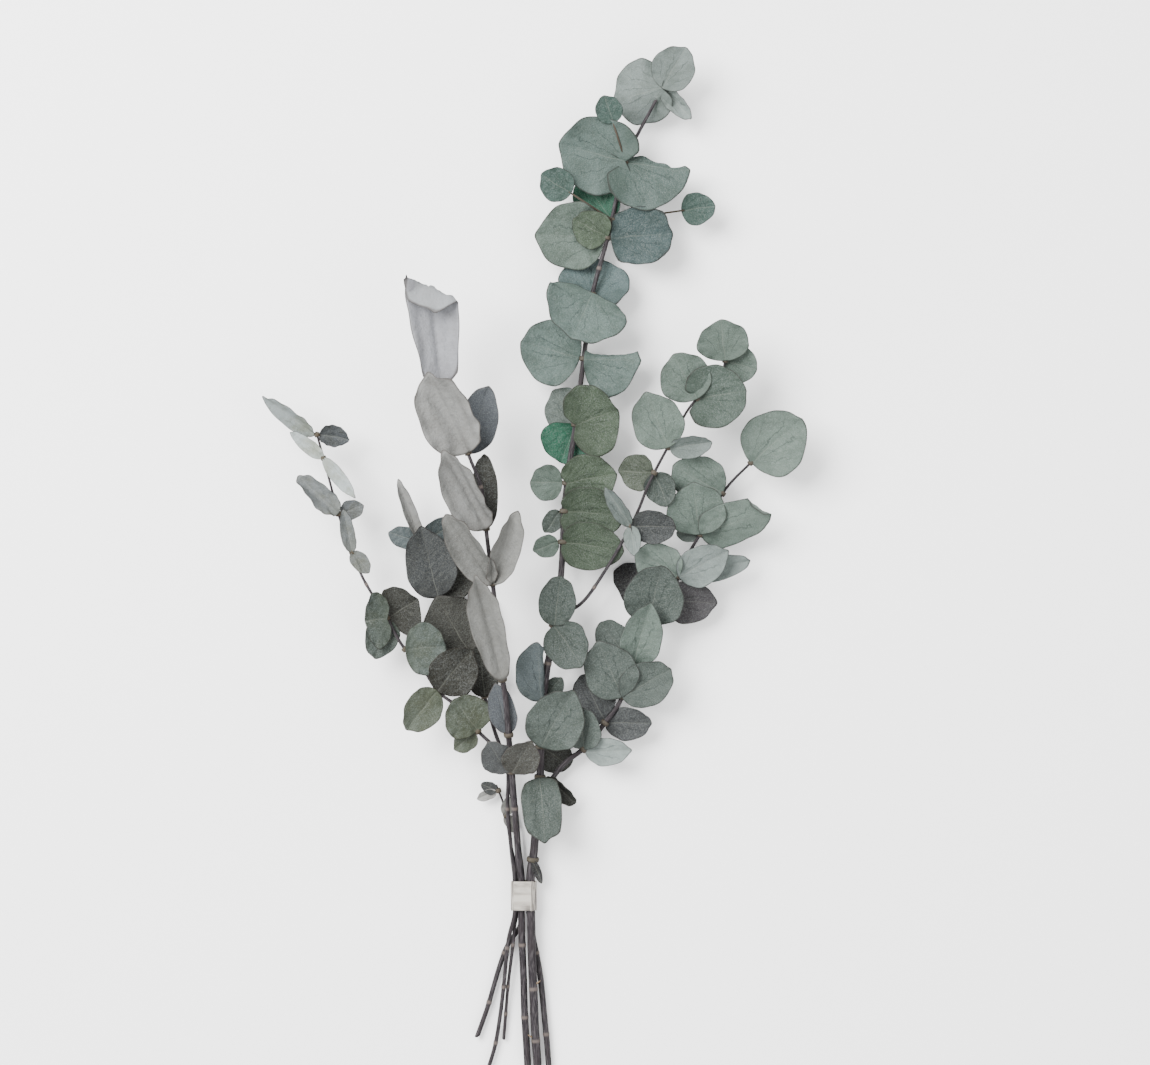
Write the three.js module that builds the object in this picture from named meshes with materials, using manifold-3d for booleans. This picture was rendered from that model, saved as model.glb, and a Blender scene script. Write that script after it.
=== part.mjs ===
// A florist's bunch of dried silver-dollar eucalyptus, lying on its back on a table.
// Five leafy sprigs, a side twig and a short bare twig are held by one wrap of tape.
// +Y runs from the cut ends to the tips, +X to the right and +Z up from the table.
// Leaves grow in pairs. Each pair clasps its stem with a short collar and is one piece.

import * as THREE from "three";
import { mergeVertices } from "three/addons/utils/BufferGeometryUtils.js";
import Module from "manifold-3d";

const wasm = await Module();
wasm.setup();

// Driving dimensions, in millimetres and degrees.
const headLength = 558; // tape to the tip of the tallest stem
const headSpread = 298; // tip of the left stem to the tip of the right stem
const tailLength = 130; // tape to the cut end of the thickest stem
const tapeWidth = 20;
const tapeWall = 0.6;
const tapeEase = 0.15; // the tape's extra room over the clearance
const straightPast = 2; // how far past the tape a stem still runs straight
const leafSize = 1; // 1 for leaves at the sizes given with each leaf
const leafThickness = 0.8;
const shingle = 12; // how far each leaf leans up off its stem
const creaseRadius = 3; // of a folded leaf
const collarLength = 3.2;
const collarWall = 0.9;
const clearance = 0.35; // between pieces that touch

const collarSides = 6;
const stemSides = 6;
const stemStep = 24; // length of one straight stretch of a stem
const smallLeaf = 29; // a leaf smaller than this is made of fewer cells
const smallLeafCells = 2;
const leafCells = 4;
const normalStep = 0.02; // of the unit square, to either side of a point
const normalInset = 0.08; // of the unit square, in from its edges
const stalkRadius = 0.8;
const stalkLetIn = 2; // how far a stalk runs into its leaf
const tapeSteps = 40;
const weldDistance = 1e-3; // corners closer than this are one corner
const shareStep = 1e-5; // a place along a stem is found to this share of its length

const UP = new THREE.Vector3(0, 0, 1);

// One leaf. aim is its midrib's heading in the table's plane, with 0 to the right and 90 to the tips.
// lift raises the tip off the shingled plane and roll raises the edge on its left.
// folds bend the left and the right half up along the midrib, and curl bends the tip up.
// side is 1 on the front of the stem, -1 behind it and 0 beside it. base is how full its base is,
// lobe is how far its base reaches back past the stem, and halves are the shares of its width.
function leaf(aim, long, wide, options = {}) {
  const flat = { lift: 0, roll: 0, side: 0, stalk: 0 };
  const round = { folds: [8, 8], curl: 8, base: 0.7, lobe: 0, halves: [1, 1] };
  return { aim, long, wide, ...flat, ...round, ...options };
}

// Each sprig: its stem's diameter at the tape and at the tip, where it sits in the bundle,
// its route below and above the tape, and the leaves at each height above the tape.
const sprigs = {
  right: {
    base: 4.4,
    tip: 1.8,
    seat: [1.6, 2.6],
    tail: [[15, -118, 2.3], [12.5, -88, 2.4], [9, -55, 2.4]],
    route: [
      [4, 30, 3], [11, 60, 7], [15, 76, 9], [26, 91, 11], [41, 103, 13], [55, 121, 15], [63, 132, 16],
      [84, 188, 18], [103, 217, 19], [112, 237, 20], [119, 249, 20], [136, 279, 20], [155, 299, 20],
    ],
    leaves: [
      [101, leaf(88, 30, 27, { side: 1 }), leaf(5, 32, 20)],
      [119, leaf(122, 36, 32, { side: -1, lift: -28 }), leaf(0, 32, 24, { side: -1, lift: -4 })],
      [137, leaf(112, 42, 38, { side: 1 }), leaf(32, 40, 32, { side: 1 })],
      [158, leaf(75, 46, 30, { side: 1, folds: [25, 10] }), leaf(130, 38, 26, { side: -1, lift: -24 })],
      [187, leaf(78, 42, 42, { side: 1 })],
      [203, leaf(155, 41, 33, { side: -1, lift: -28 }), leaf(-5, 36, 30, { side: -1, lift: -14 })],
      [219, leaf(146, 34, 32, { side: 1 }), leaf(30, 38, 28, { side: 1 }),
        leaf(13, 50, 18, { side: -1, lift: -8 })],
      [248, leaf(97, 36, 42, { side: 1 }), leaf(20, 46, 30, { side: 1, folds: [10, -25] }),
        leaf(175, 16, 12, { side: -1 })],
      [276, leaf(150, 38, 36, { side: 1 })],
      [297, leaf(42, 46, 46)],
    ],
  },
  back: {
    base: 3.6,
    tip: 1.8,
    seat: [-3.3, 2.2],
    tail: [[-34, -97, 1.9], [-27, -77, 2], [-14, -36, 1.9], [-5, -22, 2]],
    route: [
      [-4, 20, 2.2], [-14, 89, 8], [-22, 113, 10], [-29, 137, 11], [-39, 167, 12], [-60, 203, 13],
      [-74, 251, 13],
    ],
    leaves: [
      [137, leaf(95, 38, 22, { side: 1 })],
      [167, leaf(120, 46, 42, { side: 1 }), leaf(75, 40, 28, { side: -1, lift: -20 })],
      [205, leaf(103, 50, 35, { side: 1 }), leaf(60, 36, 36, { side: -1, lift: -15 })],
      [243, leaf(110, 46, 12, { side: 1, folds: [50, 50] }), leaf(30, 30, 20), leaf(160, 22, 16)],
    ],
  },
  short: {
    base: 2.4,
    tip: 1.4,
    seat: [-6.9, 3.6],
    tail: [[-16, -99, 1.4], [-13, -63, 3], [-9.6, -34, 6], [-8.4, -22, 5.8]],
    route: [[-8, 20, 3.4], [-12, 40, 3.5], [-16, 62, 5], [-21, 76, 6]],
    leaves: [
      [55, leaf(80, 14, 9, { side: 1 }), leaf(-62, 14, 8, { side: -1 })],
      [72, leaf(150, 12, 9), leaf(200, 14, 8)],
    ],
  },
  tall: {
    base: 6.2,
    tip: 2.2,
    seat: [2.8, 8.2],
    tail: [[8, -130, 3.2], [5.5, -88, 6], [4, -55, 8.2]],
    route: [
      [4, 23, 9], [9, 80, 14], [10, 112, 16], [12, 141, 17], [17, 175, 19], [23, 215, 20], [27, 279, 21],
      [34, 326, 21], [39, 368, 20], [45, 412, 19], [56, 453, 18], [68, 504, 18], [88, 544, 20],
      [95, 558, 21],
    ],
    leaves: [
      [25, leaf(-70, 17, 6, { side: 1 })],
      [82, leaf(-84, 44, 28, { side: 1, lift: 30 }), leaf(-42, 28, 18, { folds: [50, 50] })],
      [103, leaf(62, 46, 40, { side: 1 }), leaf(-40, 26, 24, { side: -1, lift: -12 })],
      [134, leaf(92, 42, 34, { folds: [0, -150], halves: [1, 0.5] }),
        leaf(50, 20, 14, { side: -1, lift: -20 })],
      [186, leaf(82, 36, 26, { side: 1 }), leaf(-52, 34, 32, { side: 1, lift: 20 })],
      [243, leaf(200, 18, 16), leaf(-8, 41, 34, { side: 1, lobe: 2, roll: -4 })],
      [264, leaf(235, 18, 14), leaf(-4, 40, 38, { side: 1, lobe: 4 })],
      [283, leaf(178, 22, 26), leaf(12, 34, 36, { side: 1, lobe: 4 })],
      [323, leaf(20, 30, 52, { side: 1, lobe: 6 }), leaf(-112, 28, 40, { side: -1 }),
        leaf(125, 28, 30, { side: -1, lift: -24 })],
      [368, leaf(163, 41, 48), leaf(-2, 38, 52, { side: 1, folds: [-150, 0], halves: [0.5, 1], base: 0.6 })],
      [412, leaf(84, 26, 50, { side: -1, lift: -34, lobe: 10 }),
        leaf(-116, 38, 60, { side: 1, lift: 30, base: 0.3 })],
      [451, leaf(178, 46, 48), leaf(5, 42, 40, { folds: [0, 20] }),
        leaf(150, 27, 27, { side: 1, lift: 10 })],
      [463, leaf(147, 24, 24, { stalk: 33, side: 1 }), leaf(8, 23, 23, { stalk: 48, side: -1 }),
        leaf(128, 38, 32, { side: -1, lift: -30 })],
      [503, leaf(107, 20, 19, { stalk: 28, side: 1, lift: 8 }), leaf(165, 46, 54, { side: 1, lobe: 9 }),
        leaf(-11, 44, 64, { side: 1, roll: -22, folds: [-150, 0], halves: [0.12, 1], lobe: 12 })],
      [553, leaf(195, 33, 46, { folds: [-10, -25], lobe: 6, side: 1 }), leaf(58, 32, 30, { side: 1 }),
        leaf(-46, 28, 16, { side: -1, folds: [40, 40] })],
    ],
  },
  front: {
    base: 5.2,
    tip: 2,
    seat: [-3.8, 7.2],
    tail: [[0.5, -118, 2.8], [-1.2, -88, 4.2], [-2.4, -55, 6]],
    route: [
      [-5, 20, 9], [-8, 61, 19], [-10, 88, 26], [-12, 112, 33], [-14, 137, 38], [-18, 163, 43],
      [-21, 203, 47], [-26, 244, 49], [-30, 279, 50], [-39, 303, 50], [-50, 341, 49], [-59, 351, 49],
    ],
    leaves: [
      [87, leaf(62, 28, 26, { side: 1 }), leaf(118, 28, 24)],
      [112, leaf(105, 35, 19, { side: -1, lift: -20 })],
      [150, leaf(103, 78, 26, { side: 1, folds: [20, 20], base: 1.6 })],
      [215, leaf(122, 58, 28, { side: 1 }), leaf(72, 53, 24, { side: 1, folds: [40, 20] })],
      [252, leaf(117, 58, 34, { side: 1 }), leaf(92, 50, 18, { side: -1, lift: -20 })],
      [303, leaf(116, 58, 42, { side: 1 }), leaf(72, 46, 28, { side: -1, lift: -20 })],
      [349, leaf(96, 66, 42, { side: 1, base: 1.5 })],
    ],
  },
  left: {
    base: 3,
    tip: 1.6,
    seat: [-8.4, 8.6],
    tail: [[-27, -121, 1.7], [-22, -104, 1.9], [-18.5, -84, 3.4], [-16, -63, 6], [-12.5, -30, 7.6]],
    route: [
      [-10.5, 30, 9], [-13, 60, 13], [-14, 92, 20], [-22, 103, 22], [-34, 115, 24], [-46, 130, 26],
      [-60, 141, 27], [-70, 156, 28], [-84, 172, 28], [-96, 193, 28], [-110, 216, 28], [-115, 227, 28],
      [-126, 256, 28], [-130, 270, 28], [-137, 296, 28], [-143, 318, 28],
    ],
    leaves: [
      [114, leaf(125, 30, 34, { side: 1 }), leaf(215, 18, 16)],
      [142, leaf(50, 36, 34, { side: 1 }), leaf(228, 34, 26, { side: 1, lift: 14 })],
      [170, leaf(3, 28, 38, { side: 1 })],
      [191, leaf(185, 15, 40, { side: 1, lobe: 3 }), leaf(-107, 28, 24, { side: -1 }),
        leaf(32, 24, 38, { side: -1 })],
      [236, leaf(100, 30, 12, { side: 1 }), leaf(-50, 18, 12, { side: 1 })],
      [262, leaf(135, 38, 20, { side: 1 }), leaf(20, 16, 14)],
      [300, leaf(140, 28, 10, { side: 1 }), leaf(-50, 34, 10, { side: 1, lift: 15 })],
      [316, leaf(142, 43, 14), leaf(-10, 20, 20)],
    ],
  },
};

// The side twig grows from the tall stem at the first point of its route.
const sideTwig = {
  base: 2.6,
  tip: 1.6,
  route: [
    [20, 193, 20], [36, 200, 24], [54, 224, 27], [75, 262, 30], [83, 282, 32], [96, 307, 33],
    [113, 337, 34], [130, 351, 34], [137, 375, 34],
  ],
  leaves: [
    [254, leaf(0, 31, 24, { side: 1 }), leaf(122, 31, 14, { side: 1, folds: [40, 40] }),
      leaf(-80, 20, 12, { side: 1, lift: 20 })],
    [290, leaf(178, 24, 26, { side: -1, lift: -8 }), leaf(-68, 24, 22, { side: -1 })],
    [307, leaf(110, 40, 36, { side: 1 }), leaf(10, 29, 18, { folds: [35, 20] })],
    [340, leaf(118, 34, 36, { side: 1 }), leaf(10, 34, 44, { side: 1, lobe: 8 })],
    [366, leaf(96, 28, 36, { side: 1 }), leaf(-15, 22, 28, { side: -1 })],
  ],
};

// Finishes.
const finishes = {
  tall: [0x7f9488, 0.85],
  side: [0x8a9a92, 0.85],
  right: [0x86938d, 0.85],
  front: [0xa5a39e, 0.85],
  back: [0x64615e, 0.85],
  left: [0x7d897c, 0.85],
  short: [0x5c5a58, 0.9],
  bark: [0x554e52, 0.75],
  tape: [0xe1dcd2, 0.35],
};

function finish(name) {
  const [color, roughness] = finishes[name];
  return new THREE.MeshStandardMaterial({ color, roughness, metalness: 0 });
}

function radians(degrees) {
  return THREE.MathUtils.degToRad(degrees);
}

// A closed geometry as a solid, and a solid as a named mesh.
function solid(geometry) {
  const bare = geometry.clone();
  bare.deleteAttribute("normal");
  bare.deleteAttribute("uv");
  const merged = mergeVertices(bare, weldDistance);
  return new wasm.Manifold(
    new wasm.Mesh({
      numProp: 3,
      vertProperties: merged.attributes.position.array,
      triVerts: new Uint32Array(merged.index.array),
    }),
  );
}

function mesh(name, body, material) {
  const { vertProperties, triVerts } = body.getMesh();
  const geometry = new THREE.BufferGeometry();
  geometry.setAttribute("position", new THREE.BufferAttribute(vertProperties, 3));
  geometry.setIndex(new THREE.BufferAttribute(triVerts, 1));
  geometry.computeVertexNormals();
  const made = new THREE.Mesh(geometry, material);
  made.name = name;
  return made;
}

// The routes are drawn for one size of bunch and stretched to the driving dimensions.
const stretch = headLength / sprigs.tall.route.at(-1)[1];
const drawnSpread = sprigs.right.route.at(-1)[0] - sprigs.left.route.at(-1)[0];
const spread = headSpread / drawnSpread;
const tailStretch = tailLength / -sprigs.tall.tail[0][1];

function headPoint([x, y, z]) {
  return new THREE.Vector3(x * spread, y * stretch, z);
}

function tailPoint([x, y, z]) {
  return new THREE.Vector3(x, y * tailStretch, z);
}

// A stem's smooth line: its tail, two points that hold it straight in the tape, and its route.
function sprigLine({ tail, seat, route }) {
  const [x, z] = seat;
  const held = tapeWidth / 2 + straightPast;
  return new THREE.CatmullRomCurve3(
    [
      ...tail.map(tailPoint),
      new THREE.Vector3(x, -held, z),
      new THREE.Vector3(x, held, z),
      ...route.map(headPoint),
    ],
    false,
    "centripetal",
  );
}

// The share of a line's length at which it passes a height above the tape.
function shareAt(line, height) {
  let low = 0;
  let high = 1;
  while (high - low > shareStep) {
    const middle = (low + high) / 2;
    if (line.getPointAt(middle).y < height) low = middle;
    else high = middle;
  }
  return low;
}

// Full thickness up to the tape, then an even taper to the tip.
function stemRadius(stem, share) {
  const taper = THREE.MathUtils.clamp((share - stem.taperFrom) / (1 - stem.taperFrom), 0, 1);
  return THREE.MathUtils.lerp(stem.base, stem.tip, taper) / 2;
}

// A cylinder bent along the stem's line, with extra all round for a clearance body.
function stemBody(stem, extra) {
  const steps = Math.ceil(stem.line.getLength() / stemStep);
  const frames = stem.line.computeFrenetFrames(steps, false);
  const tube = new THREE.CylinderGeometry(1, 1, 1, stemSides, steps);
  const position = tube.attributes.position;
  const point = new THREE.Vector3();
  for (let i = 0; i < position.count; i++) {
    const step = Math.round((position.getY(i) + 0.5) * steps);
    const radius = stemRadius(stem, step / steps) + extra;
    point.copy(stem.line.getPointAt(step / steps));
    point.addScaledVector(frames.binormals[step], position.getX(i) * radius);
    point.addScaledVector(frames.normals[step], position.getZ(i) * radius);
    if (step === 0) point.addScaledVector(frames.tangents[0], -extra);
    if (step === steps) point.addScaledVector(frames.tangents[steps], extra);
    position.setXYZ(i, point.x, point.y, point.z);
  }
  return solid(tube);
}

// A stem with its line, its solid and the room that its leaves leave for it.
function makeStem(plan, line) {
  const stem = { ...plan, line, taperFrom: shareAt(line, tapeWidth / 2) };
  stem.body = stemBody(stem, 0);
  stem.room = stemBody(stem, clearance / Math.cos(Math.PI / stemSides));
  return stem;
}

// Distance along and out of a plane after a bend of a given angle and radius.
function bend(distance, angle, radius) {
  const arc = Math.abs(angle) * radius;
  const sign = Math.sign(angle);
  if (arc === 0) return [distance, 0];
  const turned = Math.min(distance, arc) / radius;
  const past = Math.max(distance - arc, 0);
  return [
    radius * Math.sin(turned) + past * Math.cos(turned),
    sign * (radius * (1 - Math.cos(turned)) + past * Math.sin(turned)),
  ];
}

// The point of a leaf's middle sheet over one spot of the unit square, in the leaf's own frame:
// X to its right, Y along the midrib from the base and Z out of its upper face.
function sheetPoint({ long, wide, folds, curl, base, lobe, halves }, p, q) {
  const half = (wide / 2) * (p < 0 ? halves[0] : halves[1]);
  const across = p * Math.sqrt(1 - (q * q) / 2) * half;
  const disc = q * Math.sqrt(1 - (p * p) / 2);
  const tipReach = long / (1 + base);
  const notch = lobe * Math.min(1, 2 * Math.abs(p)) * ((1 - q) / 2) ** 2;
  const along = (disc < 0 ? disc * base : disc) * tipReach + base * tipReach - notch;
  const fold = radians(across < 0 ? folds[0] : folds[1]);
  const [out, up] = bend(Math.abs(across), fold, creaseRadius);
  const turn = (radians(curl) * along) / long;
  const radius = curl === 0 ? Infinity : long / radians(curl);
  const y = curl === 0 ? along : radius * Math.sin(turn);
  const z = curl === 0 ? 0 : radius * (1 - Math.cos(turn));
  return new THREE.Vector3(Math.sign(across) * out, y - up * Math.sin(turn), z + up * Math.cos(turn));
}

// The sheet's normal over one spot. The square's corners are flat angles of the round outline,
// where the sheet has no normal of its own, so the spot is first drawn in from the edges.
function sheetNormal(blade, p, q) {
  const limit = 1 - normalInset;
  const [x, y] = [THREE.MathUtils.clamp(p, -limit, limit), THREE.MathUtils.clamp(q, -limit, limit)];
  const right = sheetPoint(blade, x + normalStep, y).sub(sheetPoint(blade, x - normalStep, y));
  const ahead = sheetPoint(blade, x, y + normalStep).sub(sheetPoint(blade, x, y - normalStep));
  return right.cross(ahead).normalize();
}

// A box whose middle sheet is shaped as the leaf, thickened along the sheet's own normals.
function bladeBody(blade) {
  const sized = { ...blade, long: blade.long * leafSize, wide: blade.wide * leafSize };
  const cells = Math.max(blade.long, blade.wide) < smallLeaf ? smallLeafCells : leafCells;
  const box = new THREE.BoxGeometry(2, 2, leafThickness, cells, cells, 1);
  const position = box.attributes.position;
  for (let i = 0; i < position.count; i++) {
    const p = position.getX(i);
    const q = position.getY(i);
    const point = sheetPoint(sized, p, q);
    point.addScaledVector(sheetNormal(sized, p, q), position.getZ(i));
    position.setXYZ(i, point.x, point.y, point.z);
  }
  return box;
}

// Where a leaf stands: its frame leans up off the stem, turns to its aim, then lifts and rolls.
function leafFrame(blade, tangent) {
  const sideways = new THREE.Vector3().crossVectors(tangent, UP).normalize();
  const normal = new THREE.Vector3().crossVectors(sideways, tangent);
  const frame = new THREE.Matrix4().makeBasis(sideways, tangent, normal);
  const stemAim = Math.atan2(tangent.y, tangent.x);
  frame.multiply(new THREE.Matrix4().makeRotationX(radians(shingle)));
  frame.multiply(new THREE.Matrix4().makeRotationZ(radians(blade.aim) - stemAim));
  frame.multiply(new THREE.Matrix4().makeRotationX(radians(blade.lift)));
  frame.multiply(new THREE.Matrix4().makeRotationY(radians(blade.roll)));
  return frame;
}

// One node of a stem: its leaves, and the collar that clasps the stem, cut clear of the stem.
function clusterBody(stem, height, blades) {
  const share = shareAt(stem.line, height * stretch);
  const centre = stem.line.getPointAt(share);
  const tangent = stem.line.getTangentAt(share);
  const radius = stemRadius(stem, share) + clearance + collarWall;
  const collar = new THREE.CylinderGeometry(radius, radius, collarLength, collarSides);
  const turn = new THREE.Quaternion().setFromUnitVectors(new THREE.Vector3(0, 1, 0), tangent);
  collar.applyQuaternion(turn).translate(centre.x, centre.y, centre.z);
  let body = solid(collar);
  for (const blade of blades) {
    const frame = leafFrame(blade, tangent);
    const [right, midrib, normal] = [new THREE.Vector3(), new THREE.Vector3(), new THREE.Vector3()];
    frame.extractBasis(right, midrib, normal);
    const front = new THREE.Vector3().crossVectors(
      new THREE.Vector3().crossVectors(tangent, UP).normalize(),
      tangent,
    );
    const out = blade.side === 0 ? midrib.clone() : front.multiplyScalar(blade.side);
    out.addScaledVector(tangent, -out.dot(tangent)).normalize();
    const foot = centre.clone().addScaledVector(out, radius - collarWall / 2);
    if (blade.stalk > 0) body = body.add(solid(stalkBody(blade, foot, midrib)));
    foot.addScaledVector(midrib, blade.stalk * leafSize);
    const placed = bladeBody(blade).applyMatrix4(frame.setPosition(foot));
    body = body.add(solid(placed));
  }
  return largest(body.subtract(stem.room));
}

// The whole of a cut solid, without the slivers that a stem shaves off a leaf's foot.
function largest(body) {
  return body.decompose().reduce((best, part) => (part.volume() > best.volume() ? part : best));
}

// The short stalk of a side shoot, let into the foot of its leaf.
function stalkBody(blade, foot, midrib) {
  const length = blade.stalk * leafSize + stalkLetIn;
  const stalk = new THREE.CylinderGeometry(stalkRadius, stalkRadius, length, stemSides);
  const turn = new THREE.Quaternion().setFromUnitVectors(new THREE.Vector3(0, 1, 0), midrib);
  const centre = foot.clone().addScaledVector(midrib, length / 2);
  return stalk.applyQuaternion(turn).translate(centre.x, centre.y, centre.z);
}

// The tape lies on the outline that a thread pulled tight round the stems would take.
function tapeOutline(stems, offset) {
  const points = [];
  for (let i = 0; i < tapeSteps; i++) {
    const angle = (i / tapeSteps) * 2 * Math.PI;
    const [cos, sin] = [Math.cos(angle), Math.sin(angle)];
    const reach = ({ seat, base }) => seat[0] * cos + seat[1] * sin + base / 2;
    const outer = stems.reduce((best, stem) => (reach(stem) > reach(best) ? stem : best));
    const radius = outer.base / 2 + offset;
    points.push(new THREE.Vector2(outer.seat[0] + radius * cos, outer.seat[1] + radius * sin));
  }
  return points;
}

function tapeBody(stems) {
  const slack = clearance + tapeEase;
  const shape = new THREE.Shape(tapeOutline(stems, slack + tapeWall));
  shape.holes.push(new THREE.Path(tapeOutline(stems, slack)));
  const band = new THREE.ExtrudeGeometry(shape, { depth: tapeWidth, bevelEnabled: false });
  return solid(band.rotateX(Math.PI / 2).translate(0, tapeWidth / 2, 0));
}

const bunch = new THREE.Group();
const grown = {};

function addSprig(name, stem) {
  grown[name] = stem;
  bunch.add(mesh(name + "_stem", stem.body, finish("bark")));
  stem.leaves.forEach(([height, ...blades], i) => {
    const number = String(i + 1).padStart(2, "0");
    bunch.add(mesh(name + "_leaves_" + number, clusterBody(stem, height, blades), finish(name)));
  });
}

for (const [name, plan] of Object.entries(sprigs)) addSprig(name, makeStem(plan, sprigLine(plan)));

const twigLine = new THREE.CatmullRomCurve3(sideTwig.route.map(headPoint), false, "centripetal");
const twig = makeStem(sideTwig, twigLine);
twig.body = twig.body.subtract(grown.tall.room);
addSprig("side", twig);

bunch.add(mesh("tape", tapeBody(Object.values(sprigs)), finish("tape")));

// The origin is under the middle of the bunch, on the table.
const box = new THREE.Box3().setFromObject(bunch);
const middle = box.getCenter(new THREE.Vector3());
bunch.position.set(-middle.x, -middle.y, -box.min.z);

const group = new THREE.Group();
group.add(bunch);
export default group;
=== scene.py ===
import math

import bmesh
import bpy
import numpy as np
from mathutils import Matrix, Vector


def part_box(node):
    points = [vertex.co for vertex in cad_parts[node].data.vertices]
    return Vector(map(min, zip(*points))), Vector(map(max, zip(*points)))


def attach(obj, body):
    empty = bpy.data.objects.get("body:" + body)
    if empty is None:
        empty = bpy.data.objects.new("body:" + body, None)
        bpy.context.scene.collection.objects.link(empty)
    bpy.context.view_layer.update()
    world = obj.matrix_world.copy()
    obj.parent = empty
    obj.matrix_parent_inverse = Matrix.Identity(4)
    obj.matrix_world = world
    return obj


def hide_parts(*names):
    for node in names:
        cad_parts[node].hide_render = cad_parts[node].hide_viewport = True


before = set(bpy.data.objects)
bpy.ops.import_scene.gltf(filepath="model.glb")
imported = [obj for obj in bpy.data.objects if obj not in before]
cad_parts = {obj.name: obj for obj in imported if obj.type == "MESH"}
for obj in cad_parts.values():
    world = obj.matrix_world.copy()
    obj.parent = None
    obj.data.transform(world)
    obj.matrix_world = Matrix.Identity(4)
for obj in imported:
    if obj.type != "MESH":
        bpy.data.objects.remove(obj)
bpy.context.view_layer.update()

# The stems. Seven woody stems, each grown with a taper and dried to a dark purplish brown, with
# paler rings where leaves grow or have dropped. The lower ends are cut at a slant.
MM = 0.001
UP = Vector((0, 0, 1))
TAPE_WIDTH = 20
STRAIGHT_PAST = 2
TAPE_CORNER = Vector((-11.0, -10.0, -0.7))  # the tape's low corner in the bunch's own drawing
DRAWING_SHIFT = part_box("tape")[0] / MM - TAPE_CORNER
LINE_SAMPLES = 200
CENTRIPETAL = 0.25  # the power of a squared gap that keeps a line from looping at close points
NO_LENGTH = 1e-4
STEM_STEP = 1.0
STEM_SIDES = 16
WELD = 2e-6
RING_SWELL = 0.28
RING_WIDTH = 1.5
RIDGE = 0.06
RIDGES = 5
RIDGE_TWIST = 0.02  # turns in a millimetre
CUT_SLANT = 0.9
CUT_RIM = 0.15  # the bark's width round a cut end
THORN_LONG = 4.5
THORN_FOOT = 0.9
THORN_TIP = 0.15
THORN_AHEAD = 0.7  # how far a thorn leans along its stem, for 1 sideways
THORN_FRONT = 0.3
THORN_OUT = 0.3  # the share of its length from the bark to its middle
THORN_GRAIN = 0.5
MIDDLE_ALBEDO = 0.066
MIDDLE_VALUE = 140
CONTRAST = 3.4

# Each stem: diameter at the tape and at the tip, its place in the bundle, its route below and above
# the tape, and the heights of the bare rings on it.
STEMS = {
    "right": {
        "base": 4.4, "tip": 1.8, "seat": (1.6, 2.6), "bare_rings": (-96, -40, 46, 62, 236),
        "tail": [(15, -118, 2.3), (12.5, -88, 2.4), (9, -55, 2.4)],
        "route": [
            (4, 30, 3), (11, 60, 7), (15, 76, 9), (26, 91, 11), (41, 103, 13), (55, 121, 15),
            (63, 132, 16), (84, 188, 18), (103, 217, 19), (112, 237, 20), (119, 249, 20),
            (136, 279, 20), (155, 299, 20),
        ],
    },
    "back": {
        "base": 3.6, "tip": 1.8, "seat": (-3.3, 2.2), "bare_rings": (-74, -40, 60, 100),
        "tail": [(-34, -97, 1.9), (-27, -77, 2), (-14, -36, 1.9), (-5, -22, 2)],
        "route": [
            (-4, 20, 2.2), (-14, 89, 8), (-22, 113, 10), (-29, 137, 11), (-39, 167, 12),
            (-60, 203, 13), (-74, 251, 13),
        ],
    },
    "short": {
        "base": 2.4, "tip": 1.4, "seat": (-6.9, 3.6), "bare_rings": (-82, -63, -34, 38),
        "tail": [(-16, -99, 1.4), (-13, -63, 3), (-9.6, -34, 6), (-8.4, -22, 5.8)],
        "route": [(-8, 20, 3.4), (-12, 40, 3.5), (-16, 62, 5), (-21, 76, 6)],
    },
    "tall": {
        "base": 6.2, "tip": 2.2, "seat": (2.8, 8.2), "bare_rings": (-100, -64, 52, 160, 214, 388, 430),
        "thorns": ((-62, 1), (-99, -1)),
        "tail": [(8, -130, 3.2), (5.5, -88, 6), (4, -55, 8.2)],
        "route": [
            (4, 23, 9), (9, 80, 14), (10, 112, 16), (12, 141, 17), (17, 175, 19), (23, 215, 20),
            (27, 279, 21), (34, 326, 21), (39, 368, 20), (45, 412, 19), (56, 453, 18),
            (68, 504, 18), (88, 544, 20), (95, 558, 21),
        ],
    },
    "front": {
        "base": 5.2, "tip": 2, "seat": (-3.8, 7.2), "bare_rings": (-84, -34, 61, 180, 280),
        "tail": [(0.5, -118, 2.8), (-1.2, -88, 4.2), (-2.4, -55, 6)],
        "route": [
            (-5, 20, 9), (-8, 61, 19), (-10, 88, 26), (-12, 112, 33), (-14, 137, 38),
            (-18, 163, 43), (-21, 203, 47), (-26, 244, 49), (-30, 279, 50), (-39, 303, 50),
            (-50, 341, 49), (-59, 351, 49),
        ],
    },
    "left": {
        "base": 3, "tip": 1.6, "seat": (-8.4, 8.6), "bare_rings": (-102, -63, -36, 60, 90, 214),
        "tail": [
            (-27, -121, 1.7), (-22, -104, 1.9), (-18.5, -84, 3.4), (-16, -63, 6), (-12.5, -30, 7.6),
        ],
        "route": [
            (-10.5, 30, 9), (-13, 60, 13), (-14, 92, 20), (-22, 103, 22), (-34, 115, 24),
            (-46, 130, 26), (-60, 141, 27), (-70, 156, 28), (-84, 172, 28), (-96, 193, 28),
            (-110, 216, 28), (-115, 227, 28), (-126, 256, 28), (-130, 270, 28), (-137, 296, 28),
            (-143, 318, 28),
        ],
    },
    "side": {
        "base": 2.6, "tip": 1.6, "seat": None, "bare_rings": (212, 320),
        "tail": [],
        "route": [
            (20, 193, 20), (36, 200, 24), (54, 224, 27), (75, 262, 30), (83, 282, 32),
            (96, 307, 33), (113, 337, 34), (130, 351, 34), (137, 375, 34),
        ],
    },
}
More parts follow.
